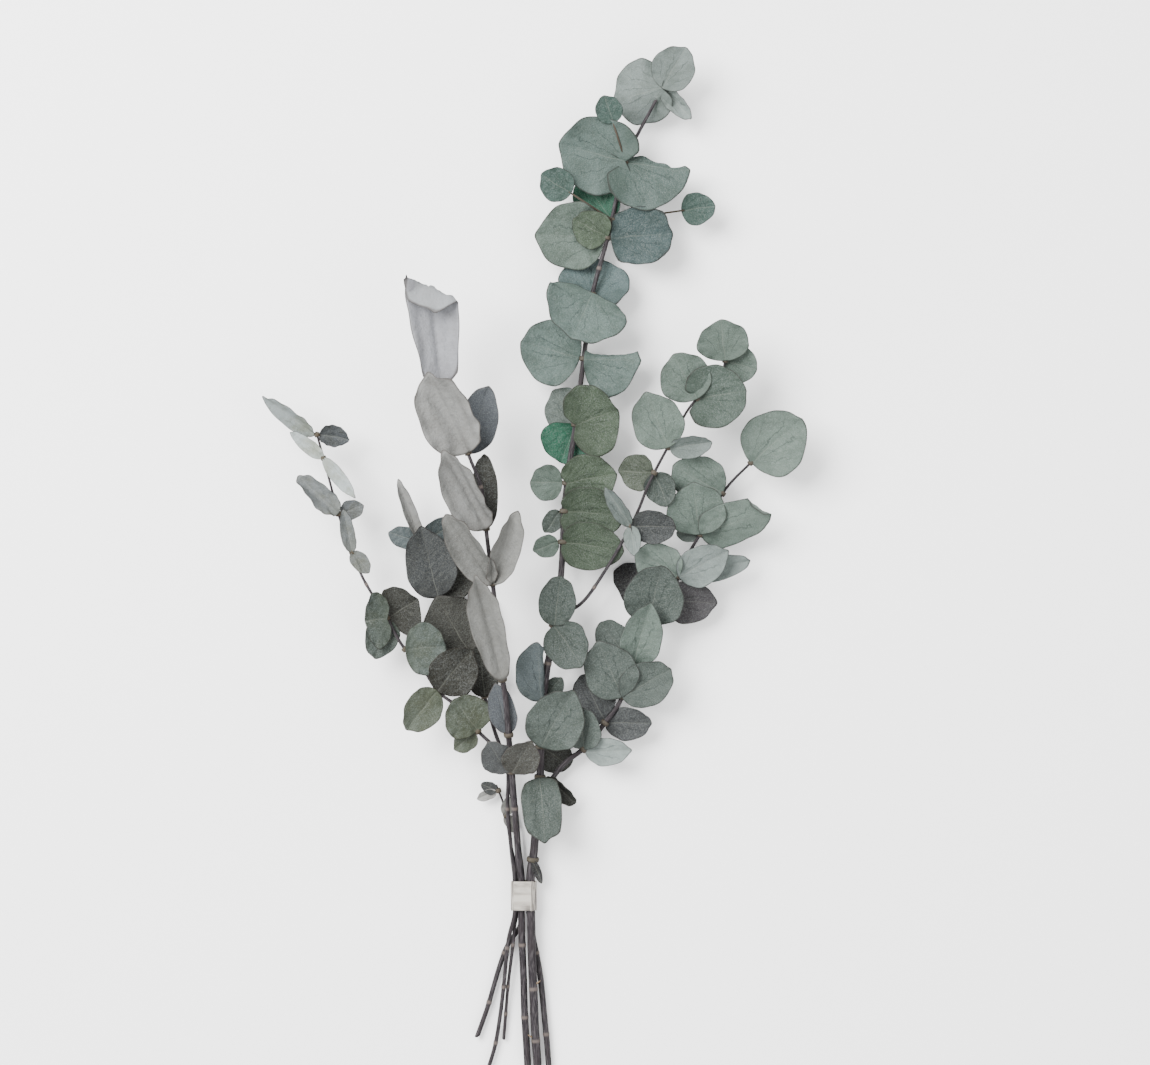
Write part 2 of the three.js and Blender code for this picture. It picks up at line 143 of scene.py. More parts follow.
LEAF_HEIGHTS = {
    "right": (101, 119, 137, 158, 187, 203, 219, 248, 276, 297),
    "back": (137, 167, 205, 243),
    "short": (55, 72),
    "tall": (25, 82, 103, 134, 186, 243, 264, 283, 323, 368, 412, 451, 463, 503, 553),
    "front": (87, 112, 150, 215, 252, 303, 349),
    "left": (114, 142, 170, 191, 236, 262, 300, 316),
    "side": (254, 290, 307, 340, 366),
}


class Line:
    """A smooth line through points, followed by the share of its length."""

    def __init__(self, points):
        self.points = [Vector(point) for point in points]
        spots = [self.spot(i / LINE_SAMPLES) for i in range(LINE_SAMPLES + 1)]
        self.lengths = [0.0]
        for before, after in zip(spots, spots[1:]):
            self.lengths.append(self.lengths[-1] + (after - before).length)
        self.length = self.lengths[-1]

    def spot(self, t):
        last = len(self.points) - 1
        index = min(int(last * t), last - 1)
        weight = last * t - index
        p1, p2 = self.points[index], self.points[index + 1]
        p0 = self.points[index - 1] if index > 0 else 2 * p1 - p2
        p3 = self.points[index + 2] if index + 2 <= last else 2 * p2 - p1
        gaps = [(b - a).length_squared ** CENTRIPETAL for a, b in ((p0, p1), (p1, p2), (p2, p3))]
        middle = gaps[1] if gaps[1] > NO_LENGTH else 1.0
        first = gaps[0] if gaps[0] > NO_LENGTH else middle
        third = gaps[2] if gaps[2] > NO_LENGTH else middle
        leave = (p1 - p0) / first - (p2 - p0) / (first + middle) + (p2 - p1) / middle
        arrive = (p2 - p1) / middle - (p3 - p1) / (middle + third) + (p3 - p2) / third
        leave, arrive = leave * middle, arrive * middle
        square = -3 * p1 + 3 * p2 - 2 * leave - arrive
        cube = 2 * p1 - 2 * p2 + leave + arrive
        return p1 + leave * weight + square * weight**2 + cube * weight**3

    def time(self, share):
        wanted = min(max(share, 0.0), 1.0) * self.length
        return float(np.interp(wanted, self.lengths, np.linspace(0, 1, LINE_SAMPLES + 1)))

    def at(self, share):
        return self.spot(self.time(share))

    def heading(self, share):
        t = self.time(share)
        return (self.spot(min(t + NO_LENGTH, 1)) - self.spot(max(t - NO_LENGTH, 0))).normalized()

    def share_at(self, height):
        low, high = 0.0, 1.0
        while high - low > NO_LENGTH / 10:
            middle = (low + high) / 2
            if self.at(middle).y < height:
                low = middle
            else:
                high = middle
        return low


def stem_line(plan):
    if plan["seat"] is None:
        return Line(plan["route"])
    x, z = plan["seat"]
    held = TAPE_WIDTH / 2 + STRAIGHT_PAST
    return Line([*plan["tail"], (x, -held, z), (x, held, z), *plan["route"]])


LINES = {name: stem_line(plan) for name, plan in STEMS.items()}
TAPER_FROM = {name: line.share_at(TAPE_WIDTH / 2) for name, line in LINES.items()}


def stem_radius(name, share):
    start = TAPER_FROM[name]
    taper = min(max((share - start) / (1 - start), 0), 1)
    plan = STEMS[name]
    return (plan["base"] + (plan["tip"] - plan["base"]) * taper) / 2


def across_axes(heading):
    """Directions to the right of a heading and to its front."""
    right = heading.cross(UP).normalized()
    return right, right.cross(heading)


def placed(point):
    return (point + DRAWING_SHIFT) * MM


def new_bmesh():
    """A bmesh whose corners carry the paint that the materials read."""
    bm = bmesh.new()
    bm.verts.layers.float_vector.new("grain")
    bm.verts.layers.float_color.new("tone")
    bm.verts.layers.float_vector.new("marks")
    return bm


def rolled(bm, steps, sides, point_of):
    """A grid rolled into a tube. point_of takes the share of the length and the turn round it."""
    made = bmesh.ops.create_grid(bm, x_segments=steps, y_segments=sides, size=1)
    spots = [((v.co.x + 1) / 2, (v.co.y + 1) * math.pi) for v in made["verts"]]
    for v, (share, turn) in zip(made["verts"], spots):
        v.co = point_of(v, share, turn)
    return made["verts"]


def finish_piece(bm, name, nodes, material, smooth=True):
    bmesh.ops.recalc_face_normals(bm, faces=bm.faces)
    for face in bm.faces:
        face.smooth = smooth
    data = bpy.data.meshes.new(name)
    bm.to_mesh(data)
    bm.free()
    data.materials.append(material)
    piece = bpy.data.objects.new(name, data)
    bpy.context.scene.collection.objects.link(piece)
    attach(piece, "root")
    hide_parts(*nodes)
    return piece


def stem_piece(name, material):
    line, plan = LINES[name], STEMS[name]
    rings = [line.share_at(height) * line.length for height in LEAF_HEIGHTS[name]]
    bare = [line.share_at(height) * line.length for height in plan["bare_rings"]]
    steps = round(line.length / STEM_STEP)
    bm = new_bmesh()
    grain, tone = bm.verts.layers.float_vector["grain"], bm.verts.layers.float_color["tone"]

    def point_of(v, share, turn):
        along = share * line.length
        ring = max(math.exp(-(((along - place) / RING_WIDTH) ** 2)) for place in rings + bare)
        heading = line.heading(share)
        right, front = across_axes(heading)
        ridge = math.sin(RIDGES * turn + along * RIDGE_TWIST * math.tau)
        radius = stem_radius(name, share) * (1 - RIDGE + RIDGE * ridge / 2) + RING_SWELL * ring
        way = right * math.cos(turn) + front * math.sin(turn)
        point = line.at(share) + way * radius
        if share == 0:
            point -= heading * math.cos(turn + len(name)) * radius * CUT_SLANT
        v[grain] = (math.cos(turn), math.sin(turn), along)
        v[tone] = (ring, 0.0, share, 1.0)
        return placed(point)

    rolled(bm, steps, STEM_SIDES, point_of)
    bmesh.ops.remove_doubles(bm, verts=bm.verts, dist=WELD)
    rim = [edge for edge in bm.edges if edge.is_boundary]
    caps = bmesh.ops.holes_fill(bm, edges=rim, sides=0)["faces"]
    bmesh.ops.inset_region(bm, faces=caps, thickness=CUT_RIM * MM, depth=0.0)
    for face in caps:
        for v in face.verts:
            v[tone] = (0.0, 1.0, 0.0, 1.0)
    for height, way in plan.get("thorns", ()):
        share = line.share_at(height)
        right, front = across_axes(line.heading(share))
        aim = right * way + line.heading(share) * THORN_AHEAD + front * THORN_FRONT
        aim = aim.normalized()
        middle = line.at(share) + aim * (stem_radius(name, share) + THORN_LONG * THORN_OUT)
        turn = aim.to_track_quat("Z", "Y").to_matrix().to_4x4()
        thorn = bmesh.ops.create_cone(
            bm, cap_ends=True, segments=STEM_SIDES, radius1=THORN_FOOT, radius2=THORN_TIP,
            depth=THORN_LONG, matrix=Matrix.Translation(placed(middle)) @ turn @ Matrix.Scale(MM, 4),
        )
        for v in thorn["verts"]:
            v[grain] = (THORN_GRAIN, THORN_GRAIN, height)
    return finish_piece(bm, name + "_stem_bark", [name + "_stem"], material)


def linear(red, green, blue):
    """The albedo that looks, in this studio's light, like a colour named by 0 to 255 values."""
    levels = (red, green, blue)
    return (*(MIDDLE_ALBEDO * (value / MIDDLE_VALUE) ** CONTRAST for value in levels), 1.0)


class Nodes:
    """Shader nodes, added and wired by short calls."""

    def __init__(self, name):
        self.material = bpy.data.materials.new(name)
        self.material.use_nodes = True
        self.tree = self.material.node_tree
        self.shader = self.tree.nodes["Principled BSDF"]

    def add(self, kind, inputs=(), **settings):
        node = self.tree.nodes.new(kind)
        for key, value in settings.items():
            setattr(node, key, value)
        for socket, value in dict(inputs).items():
            if isinstance(value, bpy.types.NodeSocket):
                self.tree.links.new(value, node.inputs[socket])
            else:
                node.inputs[socket].default_value = value
        return node

    def attribute(self, name):
        """What each corner of the mesh carries under a name."""
        return self.add("ShaderNodeAttribute", attribute_name=name)

    def math(self, operation, first, second=0.0, third=0.0):
        inputs = {0: first, 1: second, 2: third}
        return self.add("ShaderNodeMath", inputs, operation=operation).outputs[0]

    def ramp(self, value, low, high, start=0.0, end=1.0):
        """Goes smoothly from start, where the value is low, to end, where it is high."""
        inputs = {0: value, 1: low, 2: high, 3: start, 4: end}
        node = self.add("ShaderNodeMapRange", inputs, interpolation_type="SMOOTHSTEP")
        return node.outputs[0]

    def mix(self, share, first, second, blend="MIX"):
        """The first colour, with a share of the second."""
        inputs = {0: share, 6: first, 7: second}
        return self.add("ShaderNodeMix", inputs, data_type="RGBA", blend_type=blend).outputs[2]

    def noise(self, vector, scale, detail=3.0, roughness=0.55):
        """Cloudy grain with about scale blotches in a millimetre."""
        inputs = {"Vector": vector, "Scale": scale, "Detail": detail, "Roughness": roughness}
        return self.add("ShaderNodeTexNoise", inputs).outputs[0]

    def done(self, color, roughness, bump_height, bump_mm, specular=0.15):
        inputs = {"Height": bump_height, "Distance": bump_mm * MM, "Strength": 1.0}
        bump = self.add("ShaderNodeBump", inputs).outputs[0]
        for socket, value in (("Base Color", color), ("Roughness", roughness), ("Normal", bump)):
            self.tree.links.new(value, self.shader.inputs[socket])
        self.shader.inputs["Specular IOR Level"].default_value = specular
        return self.material


BARK_DARK = linear(80, 76, 80)
BARK_PALE = linear(130, 126, 128)
BARK_STAIN = linear(92, 85, 88)
BARK_FLECK = linear(60, 52, 56)
RING_COLOR = linear(152, 143, 138)
CUT_COLOR = linear(176, 160, 140)
STREAK_STRETCH = 0.05  # how slowly the bark's streaks change along the stem
FLECK_STRETCH = 0.4


def bark_material():
    """Dark streaky bark, with paler rings and cut ends."""
    nodes = Nodes("bark")
    grain = nodes.attribute("grain").outputs["Vector"]
    marks = nodes.add("ShaderNodeSeparateColor", {0: nodes.attribute("tone").outputs["Color"]})
    ring, cut = marks.outputs[0], marks.outputs[1]
    long = nodes.add("ShaderNodeMapping", {"Vector": grain, "Scale": (1.0, 1.0, STREAK_STRETCH)}).outputs[0]
    short = nodes.add("ShaderNodeMapping", {"Vector": grain, "Scale": (1.0, 1.0, FLECK_STRETCH)}).outputs[0]
    streak = nodes.noise(long, 3.2, 4.0, 0.6)
    fleck = nodes.noise(short, 6.0, 3.0, 0.6)
    patch = nodes.noise(long, 0.7, 2.0, 0.5)
    color = nodes.mix(nodes.ramp(streak, 0.42, 0.66), BARK_DARK, BARK_PALE)
    color = nodes.mix(nodes.ramp(patch, 0.45, 0.62, 0.0, 0.55), color, BARK_STAIN)
    color = nodes.mix(nodes.ramp(fleck, 0.58, 0.68, 0.0, 0.5), color, BARK_FLECK)
    color = nodes.mix(nodes.ramp(ring, 0.25, 0.95, 0.0, 0.85), color, RING_COLOR)
    color = nodes.mix(cut, color, CUT_COLOR)
    height = nodes.math("ADD", streak, nodes.math("MULTIPLY", fleck, 0.5))
    rough = nodes.ramp(streak, 0.3, 0.7, 0.62, 0.82)
    return nodes.done(color, rough, height, bump_mm=0.25)


BARK = bark_material()
for stem_name in STEMS:
    stem_piece(stem_name, BARK)

# The tall sprig's leaves. The middle sprig carries pairs of round leathery leaves that clasp the
# stem, grey-green above and paler below, with a pale midrib, a net of veins and a thin rim painted
# dark as shade.
SHINGLE = 12
CREASE_RADIUS = 3
FLAP_RADIUS = 1.3
COLLAR_LENGTH = 3.2
COLLAR_WALL = 0.9
CLEARANCE = 0.35
LEAF_CELLS = 26
LEAF_THICKNESS = 0.42
STALK_RADIUS = 0.8
STALK_LET_IN = 2
STALK_TAPER = 0.8
STALK_SIDES = 10
COLLAR_SIDES = 20
COLLAR_ROUND = 8
NUDGE = 0.02  # of the unit square, to either side of a spot whose normal is wanted
INSET = 0.08  # of the unit square: normals are taken this far in from its edges
NO_NORMAL = 1e-9
GOLDEN = 2.399963
SEED_STEP = 7  # between the waves of two leaves of one pair
STEM_ROOM = 0.42

UNEVEN = 0.03  # how far the outline strays, as a share of the leaf
UNEVEN_FINE = 0.016
POINT_SPREAD = 0.2
USUAL_WIDTH = 40  # a leaf this wide waves and cups as far as its numbers say
BROAD_WAVE = 0.6
CLOSE_WAVE = 0.4
EDGE_RIPPLE = 0.35
CUP_RETURN = 0.3
MIDRIB_DEPTH = 0.3
MIDRIB_HALF = 0.8
VEIN_PITCH = 5.2
VEIN_SLANT = 0.75
PUCKER = 0.16
PUCKER_START = 5  # beside the midrib, where the leaf is still flat
PLEAT_PITCH = 13
NO_VEINS = 40  # across the midrib, past any leaf's edge

# Each tone is a leaf's own colour together with the light and shade on it, painted in; the darkest, iron,
# umber and brown, are largely painted shade.
TONES = {
    "sage": (133, 146, 138), "pale": (160, 169, 166), "silver": (190, 197, 197),
    "seafoam": (138, 153, 148), "grey": (110, 119, 114), "moss": (102, 115, 98),
    "olive": (111, 118, 106), "teal": (78, 130, 110), "blue": (112, 121, 123),
    "iron": (92, 94, 95), "umber": (88, 87, 82), "taupe": (155, 155, 152),
    "shell": (168, 168, 166), "lilac": (180, 181, 185), "steel": (120, 124, 129),
    "brown": (82, 79, 82), "ash": (156, 160, 161), "sea": (114, 134, 128),
    "slate": (118, 134, 134),
}


def leaf(aim, long, wide, tone, **options):
    """One leaf: its midrib's heading, its size, its colour and how it stands and bends."""
    plain = {"lift": 0, "roll": 0, "side": 0, "stalk": 0, "folds": (8, 8), "curl": 8}
    shape = {"base": 0.7, "lobe": 0, "halves": (1, 1), "wave": 1.7, "cup": 1.6, "point": 0.03}
    outline = {"boxy": 0, "taper": 0, "pleat": 0, "flap": None, "shade": 0}
    return {"aim": aim, "long": long, "wide": wide, "tone": tone, **plain, **shape, **outline, **options}


def bent(distance, angle):
    """How far along and out of a plane a distance ends after the crease's bend."""
    arc = np.abs(angle) * CREASE_RADIUS
    turned = np.minimum(distance, arc) / CREASE_RADIUS
    past = np.maximum(distance - arc, 0)
    out = CREASE_RADIUS * np.sin(turned) + past * np.cos(turned)
    up = np.sign(angle) * (CREASE_RADIUS * (1 - np.cos(turned)) + past * np.sin(turned))
    flat = arc == 0
    return np.where(flat, distance, out), np.where(flat, 0, up)


def flapped(place, heading, distance, angle):
    """The sheet folded back over itself across a line: its heading off the midrib and its distance."""
    way = np.array([-math.sin(math.radians(heading)), math.cos(math.radians(heading)), 0])
    over = np.maximum(place @ way - distance, 0)
    arc = math.radians(angle) * FLAP_RADIUS
    turned, past = np.minimum(over, arc) / FLAP_RADIUS, np.maximum(over - arc, 0)
    out = FLAP_RADIUS * np.sin(turned) + past * np.cos(turned)
    up = FLAP_RADIUS * (1 - np.cos(turned)) + past * np.sin(turned)
    return place + (out - over)[:, None] * way + up[:, None] * np.array([0, 0, 1])


def sheet(blade, seed, p, q):
    """The leaf's middle sheet over spots of the unit square, with its distances along and across."""
    disc_x, disc_y = p * np.sqrt(1 - q * q / 2), q * np.sqrt(1 - p * p / 2)
    reach = np.hypot(disc_x, disc_y)
    angle = np.arctan2(disc_y, disc_x)
    stray = UNEVEN * np.sin(3 * angle + seed) + UNEVEN_FINE * np.sin(7 * angle + 2 * seed)
    uneven = 1 + reach**2 * stray
    half = blade["wide"] / 2 * np.where(p < 0, blade["halves"][0], blade["halves"][1])
    boxy = blade["boxy"]
    disc_x, disc_y = disc_x + (p - disc_x) * boxy, disc_y + (q - disc_y) * boxy
    across = disc_x * half * uneven * (1 + blade["taper"] * disc_y)
    tip_reach = blade["long"] / (1 + blade["base"])
    notch = blade["lobe"] * np.minimum(1, 2 * np.abs(p)) * ((1 - q) / 2) ** 2
    point = blade["point"] * blade["long"] * np.maximum(disc_y, 0) ** 6
    point = point * np.exp(-((disc_x / POINT_SPREAD) ** 2))
    along = np.where(disc_y < 0, disc_y * blade["base"], disc_y * uneven) * tip_reach
    along = along + blade["base"] * tip_reach - notch + point
    fold = np.radians(np.where(across < 0, blade["folds"][0], blade["folds"][1]))
    out, up = bent(np.abs(across), fold)
    turn = np.radians(blade["curl"]) * along / blade["long"]
    radius = blade["long"] / math.radians(blade["curl"]) if blade["curl"] else 0
    y = radius * np.sin(turn) if blade["curl"] else along
    z = radius * (1 - np.cos(turn)) if blade["curl"] else 0 * along
    place = np.stack([np.sign(across) * out, y - up * np.sin(turn), z + up * np.cos(turn)], axis=-1)
    if blade["flap"]:
        place = flapped(place, *blade["flap"])
    return place, across, along, reach, angle


def relief(blade, seed, across, along, reach, angle):
    """How far the sheet waves, cups and puckers out of its plane, in millimetres."""
    size = blade["wide"] / USUAL_WIDTH
    wave = BROAD_WAVE * np.sin(3 * angle + seed) + CLOSE_WAVE * np.sin(5 * angle + 1.7 * seed)
    ripple = EDGE_RIPPLE * np.sin(11 * angle + 3.1 * seed)
    edge = blade["wave"] * size * (reach**3 * wave + reach**6 * ripple)
    cup = blade["cup"] * size * (reach**4 - CUP_RETURN * reach**2)
    midrib = -MIDRIB_DEPTH * np.exp(-((across / MIDRIB_HALF) ** 2))
    veins = np.sin((along - VEIN_SLANT * np.abs(across)) * math.tau / VEIN_PITCH + seed)
    pucker = PUCKER * veins * np.clip(np.abs(across) / PUCKER_START, 0, 1) * (1 - reach**4)
    pleat = blade["pleat"] * np.cos(across * math.tau / PLEAT_PITCH + seed) * (1 - reach**6)
    return edge + cup + midrib + pucker + pleat


def leaf_frame(blade, heading):
    """The leaf's axes: its right edge, its midrib and its upper face."""
    right, front = across_axes(heading)
    frame_axes = Matrix((right, heading, front)).transposed().to_4x4()
    turn = math.radians(blade["aim"]) - math.atan2(heading.y, heading.x)
    frame_axes = frame_axes @ Matrix.Rotation(math.radians(SHINGLE), 4, "X")
    frame_axes = frame_axes @ Matrix.Rotation(turn, 4, "Z")
    frame_axes = frame_axes @ Matrix.Rotation(math.radians(blade["lift"]), 4, "X")
    return frame_axes @ Matrix.Rotation(math.radians(blade["roll"]), 4, "Y")


def clear_of_stem(name, share, point, side):
    """The point, moved out to the stem's surface if it lies inside the stem."""
    line = LINES[name]
    centre, heading = line.at(share), line.heading(share)
    ahead = (point - centre).dot(heading)
    here = min(max(share + ahead / line.length, 0), 1)
    axis = line.at(here)
    off = point - axis
    off -= line.heading(here) * off.dot(line.heading(here))
    room = stem_radius(name, here) + STEM_ROOM
    if off.length >= room or here in (0, 1):
        return point
    front = across_axes(heading)[1]
    level = off.dot(front)
    wanted = math.sqrt(max(room**2 - (off.length**2 - level**2), 0))
    upward = side if side else (1 if level >= 0 else -1)
    return point + front * (wanted * upward - level)


STALK_COLOR = linear(128, 118, 108)
COLLAR_COLOR = linear(132, 124, 114)


def add_blade(bm, name, share, blade, seed):
    """One leaf, from its foot on the stem's surface, with its stalk if it has one."""
    line = LINES[name]
    centre, heading = line.at(share), line.heading(share)
    ring = stem_radius(name, share) + CLEARANCE + COLLAR_WALL
    axes = leaf_frame(blade, heading)
    midrib = axes.to_3x3().col[1]
    out = midrib.copy() if blade["side"] == 0 else across_axes(heading)[1] * blade["side"]
    out = (out - heading * out.dot(heading)).normalized()
    foot = centre + out * (ring - COLLAR_WALL / 2)
    # The shade option lifts or lowers a leaf's tone by a number of levels: partly a correction of the
    # leaf's own colour and partly painted light and shade.
    tone = linear(*(level + blade["shade"] for level in TONES[blade["tone"]]))
    layers = bm.verts.layers
    grain, paint = layers.float_vector["grain"], layers.float_color["tone"]
    marks = layers.float_vector["marks"]
    if blade["stalk"]:
        long = blade["stalk"] + STALK_LET_IN
        turn = midrib.to_track_quat("Z", "Y").to_matrix().to_4x4()
        where = Matrix.Translation(placed(foot + midrib * long / 2)) @ turn @ Matrix.Scale(MM, 4)
        made = bmesh.ops.create_cone(
            bm, cap_ends=True, segments=STALK_SIDES, radius1=STALK_RADIUS,
            radius2=STALK_RADIUS * STALK_TAPER, depth=long, matrix=where,
        )
        for v in made["verts"]:
            v[paint] = STALK_COLOR
            v[grain] = (NO_VEINS, 0, 0)
        foot = foot + midrib * blade["stalk"]
    made = bmesh.ops.create_grid(bm, x_segments=LEAF_CELLS, y_segments=LEAF_CELLS, size=1)
    corners = made["verts"]
    faces = list(dict.fromkeys(face for v in corners for face in v.link_faces))
    p, q = np.array([v.co.x for v in corners]), np.array([v.co.y for v in corners])
    place, across, along, reach, angle = sheet(blade, seed, p, q)
    inner_p, inner_q = np.clip(p, INSET - 1, 1 - INSET), np.clip(q, INSET - 1, 1 - INSET)
    right = sheet(blade, seed, inner_p + NUDGE, inner_q)[0]
    right = right - sheet(blade, seed, inner_p - NUDGE, inner_q)[0]
    ahead = sheet(blade, seed, inner_p, inner_q + NUDGE)[0]
    ahead = ahead - sheet(blade, seed, inner_p, inner_q - NUDGE)[0]
    normal = np.cross(right, ahead)
    normal /= np.maximum(np.linalg.norm(normal, axis=1), NO_NORMAL)[:, None]
    place = place + normal * relief(blade, seed, across, along, reach, angle)[:, None]
    lower = []
    for number, v in enumerate(corners):
        point = clear_of_stem(name, share, foot + axes.to_3x3() @ Vector(place[number]), blade["side"])
        v.co = placed(point)
        lower.append(placed(point - axes.to_3x3() @ Vector(normal[number]) * LEAF_THICKNESS))
        v[grain] = (across[number], along[number], seed)
        v[paint] = tone
        v[marks] = (reach[number], 0.0, number)
    shell = bmesh.ops.solidify(bm, geom=faces, thickness=LEAF_THICKNESS * MM)
    for item in shell["geom"]:
        if isinstance(item, bmesh.types.BMVert):
            item.co = lower[round(item[marks].z)]
            item[marks] = (item[marks].x, 1.0, 0.0)


def add_collar(bm, name, share):
    """The short collar by which a pair of leaves clasps its stem."""
    line = LINES[name]
    centre, heading = line.at(share), line.heading(share)
    right, front = across_axes(heading)
    inner = stem_radius(name, share) + CLEARANCE
    layers = bm.verts.layers
    grain, paint = layers.float_vector["grain"], layers.float_color["tone"]

    def point_of(v, share_round, turn):
        ring = share_round * math.tau
        radius = inner + COLLAR_WALL / 2 * (1 + math.cos(turn))
        rise = COLLAR_LENGTH / 2 * math.sin(turn)
        v[grain] = (NO_VEINS, ring, rise)
        v[paint] = COLLAR_COLOR
        way = right * math.cos(ring) + front * math.sin(ring)
        return placed(centre + way * radius + heading * rise)

    made = rolled(bm, COLLAR_SIDES, COLLAR_ROUND, point_of)
    bmesh.ops.remove_doubles(bm, verts=made, dist=WELD)


BLOOM = linear(200, 206, 206)
SPECK = linear(64, 66, 62)
VEIN_COLOR = linear(200, 202, 192)
UNDERSIDE = linear(164, 170, 166)
DEEP_VEIN = (0.42, 0.44, 0.44, 1.0)  # what a dark vein leaves of each colour
VEIN_WANDER = 9.0  # millimetres
MIDRIB_BOW = 3.2
FAN_SPACING = 2.9  # dark veins in a radian round the leaf's foot
FAN_FOOT = 2.5  # how far behind the foot they meet
FAN_WANDER = 0.9
NET_SCALE = 0.55


def leaf_material(name, mottle, mottle_color, vein, dark_vein, rim_shade_color):
    """A leaf's skin: pale and dark veins, a fine net, mottling, painted shade along the rim and at the
    foot, and a paler underside.
    """
    nodes = Nodes(name)
    tone = nodes.attribute("tone").outputs["Color"]
    place = nodes.attribute("grain").outputs["Vector"]
    parts = nodes.add("ShaderNodeSeparateXYZ", {0: place})
    marks = nodes.add("ShaderNodeSeparateXYZ", {0: nodes.attribute("marks").outputs["Vector"]})
    reach, under = marks.outputs[0], marks.outputs[1]
    wobble = nodes.noise(place, 0.16, 3.0)
    bow = nodes.math("MULTIPLY_ADD", nodes.noise(place, 0.06, 1.0), MIDRIB_BOW, -MIDRIB_BOW / 2)
    wide = nodes.math("ABSOLUTE", nodes.math("ADD", parts.outputs[0], bow))
    slant = nodes.math("MULTIPLY_ADD", wide, -VEIN_SLANT, parts.outputs[1])
    slant = nodes.math("MULTIPLY_ADD", wobble, VEIN_WANDER, slant)
    strip = nodes.math("FRACT", nodes.math("DIVIDE", slant, VEIN_PITCH))
    strip = nodes.math("ABSOLUTE", nodes.math("SUBTRACT", strip, 0.5))
    side_vein = nodes.ramp(strip, 0.44, 0.5)
    side_vein = nodes.math("MULTIPLY", side_vein, nodes.ramp(reach, 0.75, 1.0, 1.0, 0.2))
    midrib = nodes.ramp(wide, 0.12, 0.55, 1.0, 0.0)
    midrib = nodes.math("MULTIPLY", midrib, nodes.ramp(parts.outputs[1], 8.0, 38.0, 1.0, 0.35))
    fan = nodes.math("ARCTAN2", parts.outputs[0], nodes.math("ADD", parts.outputs[1], FAN_FOOT))
    fan = nodes.math("MULTIPLY_ADD", wobble, FAN_WANDER, nodes.math("MULTIPLY", fan, FAN_SPACING))
    fan = nodes.math("ABSOLUTE", nodes.math("SUBTRACT", nodes.math("FRACT", fan), 0.5))
    fan = nodes.ramp(fan, 0.43, 0.5, 0.0, 1.0)
    fan = nodes.math("MULTIPLY", fan, nodes.ramp(reach, 0.5, 0.95, 1.0, 0.0))
    cells = nodes.add(
        "ShaderNodeTexVoronoi", {"Vector": place, "Scale": NET_SCALE}, feature="DISTANCE_TO_EDGE"
    ).outputs[0]
    net = nodes.ramp(cells, 0.0, 0.12, 1.0, 0.0)
    cloud = nodes.noise(place, 0.09, 4.0, 0.6)
    fine = nodes.noise(place, 1.6, 4.0, 0.65)
    dots = nodes.noise(place, 4.5, 2.0, 0.5)
    dark = nodes.mix(1.0, tone, mottle_color, "MULTIPLY")
    color = nodes.mix(nodes.ramp(cloud, 0.42, 0.68, 0.0, mottle), tone, dark)
    color = nodes.mix(nodes.ramp(fine, 0.5, 0.72, 0.0, mottle * 0.7), color, dark)
    bloom, speck = nodes.mix(0.5, color, BLOOM), nodes.ramp(dots, 0.54, 0.7, 0.0, 0.65)
    color = nodes.mix(nodes.ramp(fine, 0.32, 0.54, 0.42, 0.0), color, bloom)
    color = nodes.mix(speck, color, nodes.mix(0.5, color, SPECK))
    side_vein, net = nodes.math("MULTIPLY", side_vein, 0.26), nodes.math("MULTIPLY", net, 0.14)
    veins = nodes.math("MAXIMUM", side_vein, net)
    veins = nodes.math("MAXIMUM", veins, nodes.math("MULTIPLY", midrib, 0.42))
    pale = nodes.mix(0.5, color, VEIN_COLOR)
    color = nodes.mix(nodes.math("MULTIPLY", veins, vein), color, pale)
    deep = nodes.mix(1.0, color, DEEP_VEIN, "MULTIPLY")
    color = nodes.mix(nodes.math("MULTIPLY", fan, dark_vein), color, deep)
    # Painted shade near the stem: a leaf's colour darkens towards its mottle colour over its first 13
    # millimetres from its foot.
    foot = nodes.ramp(parts.outputs[1], 1.0, 13.0, 0.4, 0.0)
    color = nodes.mix(foot, color, dark)
    lower = nodes.mix(0.35, color, UNDERSIDE)
    color = nodes.mix(nodes.math("MULTIPLY", under, 0.8), color, lower)
    # Painted shade along the rim: the outer edge of each leaf is mixed towards a dark rim colour.
    rim = nodes.ramp(reach, 0.955, 1.0, 0.0, 0.75)
    color = nodes.mix(rim, color, rim_shade_color)
    crinkle = nodes.noise(place, 0.3, 3.0, 0.5)
    height = nodes.math("MULTIPLY_ADD", veins, -0.8, nodes.math("MULTIPLY", fine, 0.5))
    height = nodes.math("MULTIPLY_ADD", crinkle, 3.0, height)
    rough = nodes.ramp(cloud, 0.3, 0.7, 0.55, 0.72)
    return nodes.done(color, rough, height, bump_mm=0.3, specular=0.12)


def sprig_leaves(name, material, clusters):
    """All the leaves of one stem, each cluster at its height above the tape as one piece."""
    for number, (height, *blades) in enumerate(clusters, 1):
        bm = new_bmesh()
        share = LINES[name].share_at(height)
        for order, blade in enumerate(blades):
            seed = (height + SEED_STEP * order) * GOLDEN % math.tau
            add_blade(bm, name, share, blade, seed)
        add_collar(bm, name, share)
        node = f"{name}_leaves_{number:02d}"
        finish_piece(bm, node + "_fine", [node], material)


